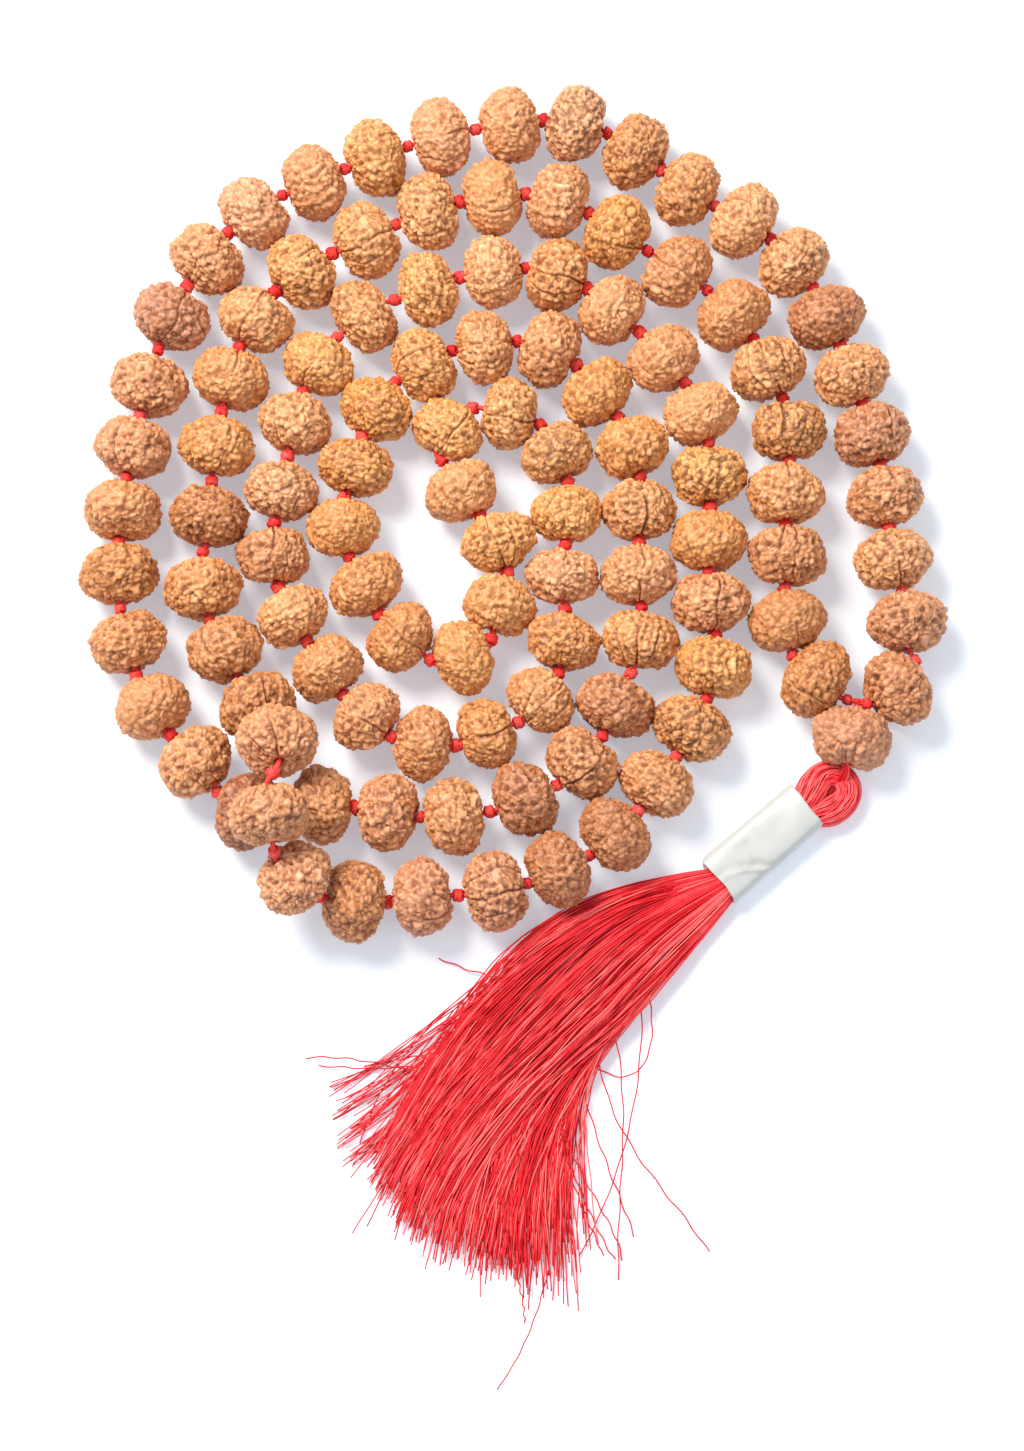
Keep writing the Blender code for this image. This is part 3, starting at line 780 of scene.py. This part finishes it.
def add_loop(plan, guru, finish, dark):
    """The hank's folded end: threads that leave the tape, go round the cord and return."""
    rng = np.random.default_rng(21)
    rows = smooth_line(LOOP_LINE, 64)
    line, half_width = rows[:, :3], rows[:, 3]
    t = np.linspace(0, 1, len(line))
    tangent = np.gradient(line, axis=0)
    tangent /= np.linalg.norm(tangent, axis=1, keepdims=True)
    side = np.cross(tangent, UP)
    side /= np.linalg.norm(side, axis=1, keepdims=True)

    def lay(across, up, twist):
        turn = twist * (t[None, :] - 0.5)
        a = across * np.cos(turn) - up * np.sin(turn)
        b = across * np.sin(turn) + up * np.cos(turn)
        local = line[None] + side[None] * (a * half_width)[..., None]
        local[..., 2] += b * LOOP_HALF_HEIGHT
        return plan.at(local[..., 0], local[..., 1], local[..., 2])

    angle = np.linspace(0, 2 * math.pi, LOOP_THREADS, endpoint=False)
    angle = (angle + rng.uniform(-0.03, 0.03, LOOP_THREADS))[:, None]
    rim = 1 + rng.uniform(-0.06, 0.02, (LOOP_THREADS, 1))
    wander = rng.uniform(0, 2 * math.pi, (LOOP_THREADS, 1))
    angle = angle + 0.13 * np.sin(2 * math.pi * rng.uniform(1.2, 3.0, wander.shape) * t[None] + wander)
    paths = lay(rim * np.cos(angle), rim * np.sin(angle), 0.9)
    # The loop's threads are lighter than the skirt's, with more of the pinkish painted highlight.
    made = add_threads("tassel_loop", paths, THREAD_RADIUS * 1.05, finish, rng,
                       shade=rng.uniform(0.35, 1.0, LOOP_THREADS))
    # A dark core inside the loop's threads paints shade into the gaps between them.
    core, faces = tubes([lay(np.zeros((1, 1)), np.zeros((1, 1)), 0)[0]], 1.0, 20)
    ring = core.reshape(len(t), 20, 3)
    turn = np.linspace(0, 2 * math.pi, 20, endpoint=False)
    for k in range(20):
        ring[:, k] = lay(np.full((1, 1), 0.93 * math.cos(turn[k])),
                         np.full((1, 1), 0.93 * math.sin(turn[k])), 0)[0]
    inner = add_mesh("tassel_loop_shade_core", ring.reshape(-1, 3), faces, dark)
    set_attribute(inner.data, "shade", np.full(len(core), 0.5))
    start, end = plan.at(plan.bend_along - 2.0, 0.0, 4.0), plan.at(plan.bend_along + 2.0, 0.0, 4.0)
    for piece in (made, inner):
        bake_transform(piece)
    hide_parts("tassel_head")

    # The knot under the loop that its eye shows, drawn in the dark silk as painted shade, and the cord's end: a
    # flat band of threads from the guru bead, over the loop, into the eye.
    hidden = plan.at(-0.5, -0.4, 2.4)
    vertices, faces = joined(knot(hidden, plan.heading, 2.7, rng))
    made = add_mesh("tassel_shaded_knot", vertices, faces, dark)
    set_attribute(made.data, "shade", np.full(len(vertices), 0.2))
    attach(made, "guru_cord")
    count = 22
    place = rng.uniform(-1, 1, count)
    layer = rng.uniform(0, 1, count)
    eye = plan.at(*LOOP_EYE, 3.0)
    over = plan.at(-4.6, 0.4, 7.3)
    across = np.cross(guru.axis, UP)
    corners = np.stack([
        guru.pole(0.95) + across * (0.55 * place)[:, None] + UP * (0.5 * layer)[:, None],
        guru.pole(1.12) + across * (0.9 * place)[:, None] + UP * (0.5 * layer - 0.6)[:, None],
        over + across * (1.5 * place)[:, None] + UP * (0.4 * layer)[:, None],
        eye + across * (0.8 * place)[:, None] + UP * (0.4 * layer)[:, None],
    ], 1)
    paths = bezier(corners, np.broadcast_to(np.linspace(0, 1, 24), (count, 24)))
    made = add_threads("tassel_cord_end", paths, THREAD_RADIUS * 1.1, finish, rng)
    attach(made, "guru_cord")


# The tape's ends along the tassel in mm, and how far its middle is across it there.
TAPE_FRONT, TAPE_REAR = (6.9, -1.2), (37.4, 0.0)
TAPE_WIDER = 0.35                  # than its solid, on each side


def add_sleeve(plan, finish):
    """Tape wound flat round the threads: a tube with a wall, a fold and uneven ends."""
    rows, columns = 64, 112
    share = np.linspace(0, 1, rows)[:, None]
    angle = np.linspace(0, 2 * math.pi, columns, endpoint=False)[None, :]
    front, rear = np.array(TAPE_FRONT), np.array(TAPE_REAR)
    middle = front + (rear - front) * share[..., None]
    middle = middle - (0.0, TAPE_WIDER)
    half_width = plan.sleeve_half_width + TAPE_WIDER + 0.25 * share
    half_height = plan.sleeve_height / 2
    power = 2 / 3.2

    def skin(inset):
        across = np.sign(np.cos(angle)) * np.abs(np.cos(angle)) ** power * (half_width - inset)
        level = np.sign(np.sin(angle)) * np.abs(np.sin(angle)) ** power * (half_height - inset)
        level = level * (1 - 0.12 * np.sin(math.pi * share))
        upper = smoothstep(0.15, 0.7, np.sin(angle))
        # A curved fold from the middle of the rear end to the right edge.
        along = middle[..., 0]
        to_fold = (across - 0.9 - 0.043 * (TAPE_REAR[0] - along) ** 2) / np.hypot(
            1, 0.086 * (TAPE_REAR[0] - along))
        raised = np.exp(-(to_fold / 0.55) ** 2)
        sunk = np.exp(-((to_fold + 1.3) / 0.8) ** 2)
        level = level + upper * (0.42 * raised - 0.38 * sunk)
        # A soft diagonal facet near the loop.
        facet = (across + 2.2 - 0.28 * (along - TAPE_FRONT[0])) / 1.6
        level = level + upper * 0.22 * np.tanh(facet) * (1 - share)
        ragged = 0.22 * np.sin(angle * 3 + 1.0) + 0.10 * np.sin(angle * 8)
        torn = 0.9 * smoothstep(0.86, 0.98, -across / half_width) * smoothstep(0.9, 1.0, share)
        ends = along + ragged * (2 * share - 1) * np.abs(2 * share - 1) ** 3 - torn
        return plan.at(ends, middle[..., 1] + across, plan.sleeve_level + level)

    outer, inner = skin(0.0), skin(0.3)
    shell = np.concatenate((outer, inner[::-1]))
    flat = shell.reshape(-1, 3)
    flat[:, 2] += 0.05 * waves(flat, 7.0, 6, np.random.default_rng(5))
    faces = grid_faces(2 * rows, columns, close_rows=True)
    made = add_mesh("tassel_tape", flat, faces, finish)
    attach(made, "tassel")
    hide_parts("tape_sleeve")


# Plan of the skirt in mm: its left, middle and right threads from the tape to their ends.
LEFT_THREAD = ((49.6, -46.6), (-9.7, -53.6), (-13.7, -88.8), (-40.8, -128.2))
MIDDLE_THREAD = ((53.2, -50.6), (11.4, -68.9), (-10.3, -106.7), (-17.2, -150.5))
RIGHT_THREAD = ((56.8, -54.5), (22.6, -99.3), (12.2, -90.2), (15.6, -156.5))
INSIDE_TAPE = 6.0                  # length of each thread that the tape hides


def skirt_plan(a, t):
    """Places in plan for shares across (-1 left, 1 right) and along the skirt."""
    u = (a + 1) / 2
    left, middle, right = (bezier(line, t) for line in (LEFT_THREAD, MIDDLE_THREAD, RIGHT_THREAD))
    return (
        left * ((1 - u) * (1 - 2 * u))[..., None]
        + middle * (4 * u * (1 - u))[..., None]
        + right * (u * (2 * u - 1))[..., None]
    )


def skirt_levels(t):
    """Half height of the skirt, and the height of its middle, along it."""
    half = 2.7 + 1.3 * smoothstep(0.01, 0.22, t) - 2.7 * smoothstep(0.35, 0.95, t)
    middle = np.maximum(half + 0.3, 4.1 * (1 - smoothstep(0, 0.25, t)))
    return half, middle


def hidden_start(paths, plan, count=4):
    """The paths with a length before them inside the tape, where they draw together."""
    back = np.linspace(1, 0, count, endpoint=False)[None, :, None]
    middle = paths[:, 0].mean(0)
    inside = (paths[:, :1] - middle) * (1 - 0.35 * back) + middle - plan.heading * INSIDE_TAPE * back
    return np.concatenate((inside, paths), 1)


def skirt_paths(across, up, lock, rng, rows=36):
    """Threads that gather in locks, cross and end unevenly: the upper ones towards the left."""
    count = len(across)
    shift = rng.normal(scale=0.08, size=SKIRT_LOCKS)[lock]
    tuft = ((across + 1) / 2 * (END_TUFTS - 1)).astype(int)
    reach = 0.93 + rng.normal(scale=0.018, size=SKIRT_LOCKS)[lock]
    reach += rng.normal(scale=0.026, size=END_TUFTS)[tuft] + rng.normal(scale=0.010, size=count)
    reach -= 0.12 * (rng.random(count) < 0.06) * rng.random(count)
    t = np.linspace(0, 1, rows)[None, :] * reach[:, None]
    centre = (lock + 0.5) / SKIRT_LOCKS * 2 - 1
    gather = 0.55 * smoothstep(0.1, 0.5, t) * (1 - 0.75 * smoothstep(0.6, 1.0, t))
    a = across[:, None] + (centre - across)[:, None] * gather
    a = a + shift[:, None] * smoothstep(0.15, 0.9, t)
    tuft_centre = (tuft[:, None] + 0.5) / END_TUFTS * 2 - 1
    bent = rng.normal(scale=0.05, size=END_TUFTS)[tuft][:, None]
    a = a + (tuft_centre - across[:, None]) * 0.8 * smoothstep(0.72, 0.95, t) + bent * smoothstep(0.7, 1.0, t)
    upper = smoothstep(-0.25, 0.25, up)[:, None]
    side = 1 - 2 * upper
    a = a + (side - a) * 0.52 * np.abs(side) * smoothstep(0.3, 0.92, t)
    wander = rng.uniform(0, 2 * math.pi, (3, count, 1))
    speed = rng.uniform(0.6, 1.6, (count, 1))
    a = a + 0.06 * smoothstep(0, 0.3, t) * np.sin(2 * math.pi * speed * t + wander[0])
    a = a + 0.004 * np.sin(2 * math.pi * 9 * t + wander[1])
    splay = rng.normal(scale=0.08, size=(count, 1)) * (rng.random((count, 1)) < 0.7)
    splay += rng.normal(scale=0.22, size=(count, 1)) * (rng.random((count, 1)) < 0.12)
    a = a + splay * smoothstep(0.25, 1.05, t)
    half, middle = skirt_levels(t)
    lift = up[:, None] + 0.16 * rng.normal(size=SKIRT_LOCKS)[lock][:, None] * smoothstep(0.1, 0.4, t)
    level = middle + lift * half + (0.12 + 0.25 * t) * np.sin(2 * math.pi * 1.4 * t + wander[2])
    level = np.maximum(level, 0.25 + 0.3 * rng.random((count, 1)))
    return np.concatenate((skirt_plan(a, t), level[..., None]), 2)


def add_skirt(plan, finish, dark):
    """The skirt's threads in six pieces, over a dark core that closes the gaps with painted shade."""
    rng = np.random.default_rng(31)
    for group in range(6):
        count = SKIRT_THREADS // 6
        across, up = disk(count, rng)
        lock = np.clip(((across + 1) / 2 * SKIRT_LOCKS + rng.normal(scale=0.5, size=count)), 0, SKIRT_LOCKS - 1)
        paths = skirt_paths(across, up, lock.astype(int), np.random.default_rng(400 + group % 2))
        shade = rng.uniform(0.0, 0.75, count)
        # About a fifth of the threads get the lightest shade: painted highlights on single threads.
        shade[rng.random(count) < 0.22] = 1.0
        made = add_threads(f"tassel_skirt_{group + 1}", hidden_start(paths, plan), THREAD_RADIUS,
                           finish, rng, sides=4, shade=shade)
        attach(made, "tassel")
        if not group:
            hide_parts("tassel_skirt")
    # The dark core: painted shade between the threads.
    rings, columns = 30, 30
    angle = np.linspace(0, 2 * math.pi, columns, endpoint=False)[:, None]
    t = np.broadcast_to(np.linspace(0, 0.8, rings), (columns, rings))
    half, middle = skirt_levels(t)
    narrow = 1 - 0.75 * smoothstep(0.3, 0.8, t)
    paths = np.concatenate((
        skirt_plan(0.84 * np.cos(angle) * narrow, t),
        (middle + 0.80 * half * np.sin(angle) * narrow - 0.15 * (1 - narrow))[..., None],
    ), 2)
    vertices = paths.transpose(1, 0, 2).reshape(-1, 3)
    faces = grid_faces(rings, columns)
    faces.append(list(range(columns))[::-1])
    faces.append(list(range((rings - 1) * columns, rings * columns)))
    made = add_mesh("tassel_skirt_shade_core", vertices, faces, dark)
    set_attribute(made.data, "shade", np.full(len(vertices), 0.5))
    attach(made, "tassel")


# Loose threads in mm: start, two corners and end of each, in plan.
STRAY_THREADS = (
    ((13, -75), (2, -76), (-9, -74), (-19, -69)),
    ((-14, -101), (-30, -98), (-41, -94), (-53, -95)),
    ((-12, -94), (-26, -99), (-38, -98), (-50, -97)),
    ((-12, -93), (-23, -94), (-30, -96), (-38, -97)),
    ((-2, -74), (-23, -84), (-34, -100), (-39, -117)),
    ((15, -57), (-10, -71), (-23, -95), (-34, -118)),
    ((34, -77), (38, -87), (36, -106), (22, -98)),
    ((33, -79), (34, -104), (28, -126), (17, -146)),
    ((22, -94), (24, -117), (41, -130), (50, -145)),
    ((26, -88), (31, -111), (26, -131), (27, -152)),
    ((17, -98), (20, -115), (27, -129), (31, -141)),
    ((12, -112), (18, -129), (26, -137), (28, -147)),
    ((12, -114), (17, -130), (21, -139), (26, -147)),
    ((13, -118), (16, -132), (20, -138), (23, -146)),
    ((0, -148), (2, -154), (3, -159), (3, -163)),
    ((9, -150), (6, -163), (2, -172), (-4, -180)),
)
SIDE_THREADS = 54                  # of the lock that fans out on the skirt's left


def add_stray_threads(plan, finish):
    """Threads that left the skirt, and the lock that fans out on its left."""
    rng = np.random.default_rng(41)
    rows = 40
    t = np.linspace(0, 1, rows)
    count = len(STRAY_THREADS)
    height = np.interp(t, (0, 0.3, 1), (3.4, 1.8, 0.3))[None] * np.ones((count, 1))
    flat = bezier(STRAY_THREADS, np.broadcast_to(t, (count, rows)))
    phase = rng.uniform(0, 2 * math.pi, (count, 1))
    flat = flat + (0.18 * np.sin(2 * math.pi * 5 * t[None] + phase))[..., None]
    paths = np.concatenate((flat, height[..., None]), 2)
    made = add_threads("tassel_stray_threads", paths, THREAD_RADIUS * 1.15, finish, rng,
                       shade=rng.uniform(0.0, 0.2, count))
    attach(made, "tassel")

    count = SIDE_THREADS
    spread = rng.random(count)
    ends = np.stack((-47 + 9 * rng.random(count) ** 2 + 5 * spread**2, -101 - 24 * spread), 1)
    ends += rng.normal(scale=0.8, size=(count, 2))
    start = np.array((49.8, -48.3)) + np.outer(rng.random(count), (3.5, -3.2))
    first = np.array((13.0, -57.0)) + rng.normal(scale=2.5, size=(count, 2))
    second = np.stack((-8 + rng.normal(scale=4.0, size=count), -84 - 12 * spread), 1)
    second[:, 1] += rng.normal(scale=3.0, size=count)
    corners = np.stack((start, first, second, ends), 1)
    flat = bezier(corners, np.broadcast_to(t, (count, rows)))
    phase = rng.uniform(0, 2 * math.pi, (count, 1))
    flat = flat + (0.22 * np.sin(2 * math.pi * 6 * t[None] + phase))[..., None]
    half, middle = skirt_levels(t[None])
    risen = smoothstep(0.0, 0.25, t[None])
    height = middle + half * rng.uniform(-0.2, 0.5, (count, 1)) + (1.4 + 0.4 * half) * risen
    height = height * (1 - smoothstep(0.5, 0.95, t[None])) + rng.uniform(0.3, 1.3, (count, 1)) * risen
    paths = np.concatenate((flat, height[..., None]), 2)
    made = add_threads("tassel_side_threads", hidden_start(paths, plan), THREAD_RADIUS, finish, rng,
                       shade=rng.uniform(0.0, 0.6, count))
    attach(made, "tassel")
    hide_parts("tassel_side_lock")


# ---------------------------------------------------------------- stage

TILT = math.radians(12)            # the camera leans back from straight above
CAMERA_DISTANCE = 1.5
CAMERA_TARGET = (-0.0002, -0.00765, 0.0)
FIELD_WIDTH = 0.26 * 1024 * MM     # seen across the picture at the target
PICTURE = (1024, 1451)


def add_camera():
    data = bpy.data.cameras.new("camera")
    data.sensor_fit = "AUTO"
    data.sensor_width = 36
    field_height = FIELD_WIDTH * PICTURE[1] / PICTURE[0]
    data.lens = data.sensor_width * CAMERA_DISTANCE / field_height
    data.clip_end = 20
    camera = bpy.data.objects.new("camera", data)
    back = Vector((0, -math.sin(TILT), math.cos(TILT)))
    camera.location = Vector(CAMERA_TARGET) + back * CAMERA_DISTANCE
    camera.rotation_euler = (TILT, 0, 0)
    bpy.context.scene.collection.objects.link(camera)
    bpy.context.scene.camera = camera


def add_light(name, place, size, power, colour):
    data = bpy.data.lights.new(name, "AREA")
    data.shape = "DISK"
    data.size = size
    data.energy = power
    data.color = colour
    light = bpy.data.objects.new(name, data)
    light.location = place
    light.rotation_euler = (-Vector(place)).to_track_quat("-Z", "Y").to_euler()
    bpy.context.scene.collection.objects.link(light)


def floor_material():
    made, nodes, links = material("floor")
    shader = nodes["Principled BSDF"]
    shader.inputs["Base Color"].default_value = (0.68, 0.70, 0.72, 1)
    shader.inputs["Emission Color"].default_value = (0.80, 0.88, 1.0, 1)
    shader.inputs["Emission Strength"].default_value = 0.36
    shader.inputs["Roughness"].default_value = 0.85
    shader.inputs["Specular IOR Level"].default_value = 0.1
    return made


def add_stage():
    """A white table, a wide soft key light from the upper left and a pale sky."""
    size = 4000
    corners = [(-size, -size, -0.3), (size, -size, -0.3), (size, size, -0.3), (-size, size, -0.3)]
    add_mesh("floor", corners, [(0, 1, 2, 3)], floor_material(), smooth=False)
    add_light("key", (-0.8, 0.8, 1.5), 0.95, 45, (1.0, 0.97, 0.93))
    add_light("fill", (1.0, -0.6, 1.4), 1.2, 4, (0.92, 0.96, 1.0))
    world = bpy.data.worlds.new("sky")
    world.use_nodes = True
    world.node_tree.nodes["Background"].inputs["Color"].default_value = (0.86, 0.93, 1.0, 1)
    world.node_tree.nodes["Background"].inputs["Strength"].default_value = 0.66
    bpy.context.scene.world = world
    bpy.context.scene.view_settings.view_transform = "Standard"


# ---------------------------------------------------------------- build

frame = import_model()

strands = {letter: strand_seeds(letter) for letter in "ab"}
guru_place, guru_axis = joint("guru_bead_spin")
guru_size = node_points("guru_bead") - guru_place
guru = Seed(
    guru_place,
    guru_axis,
    (guru_size @ guru_axis).max(),
    np.linalg.norm(guru_size - np.outer(guru_size @ guru_axis, guru_axis), axis=1).max(),
    "guru_bead",
)

seed_finish = seed_material()
cord_finish = cord_material()
# The silk's pinkish light end is a painted highlight; its dark and middle reds are the dye.
silk = thread_material("silk", (0.55, 0.004, 0.010), (0.94, 0.016, 0.030), (1.0, 0.20, 0.19), 0.42)
# Dark red for the painted shade inside the tassel: the cores that fill the gaps between threads and the knot in
# the loop's eye.
painted_shade_silk = thread_material("painted_shade_silk", (0.20, 0.001, 0.003), (0.38, 0.003, 0.006), (0.50, 0.01, 0.012), 0.7)

add_seeds(strands, guru, seed_finish)
add_cords(strands, guru, cord_finish)
tassel = TasselPlan()
add_loop(tassel, guru, silk, painted_shade_silk)
add_sleeve(tassel, tape_material())
add_skirt(tassel, silk, painted_shade_silk)
add_stray_threads(tassel, silk)
add_stage()
add_camera()
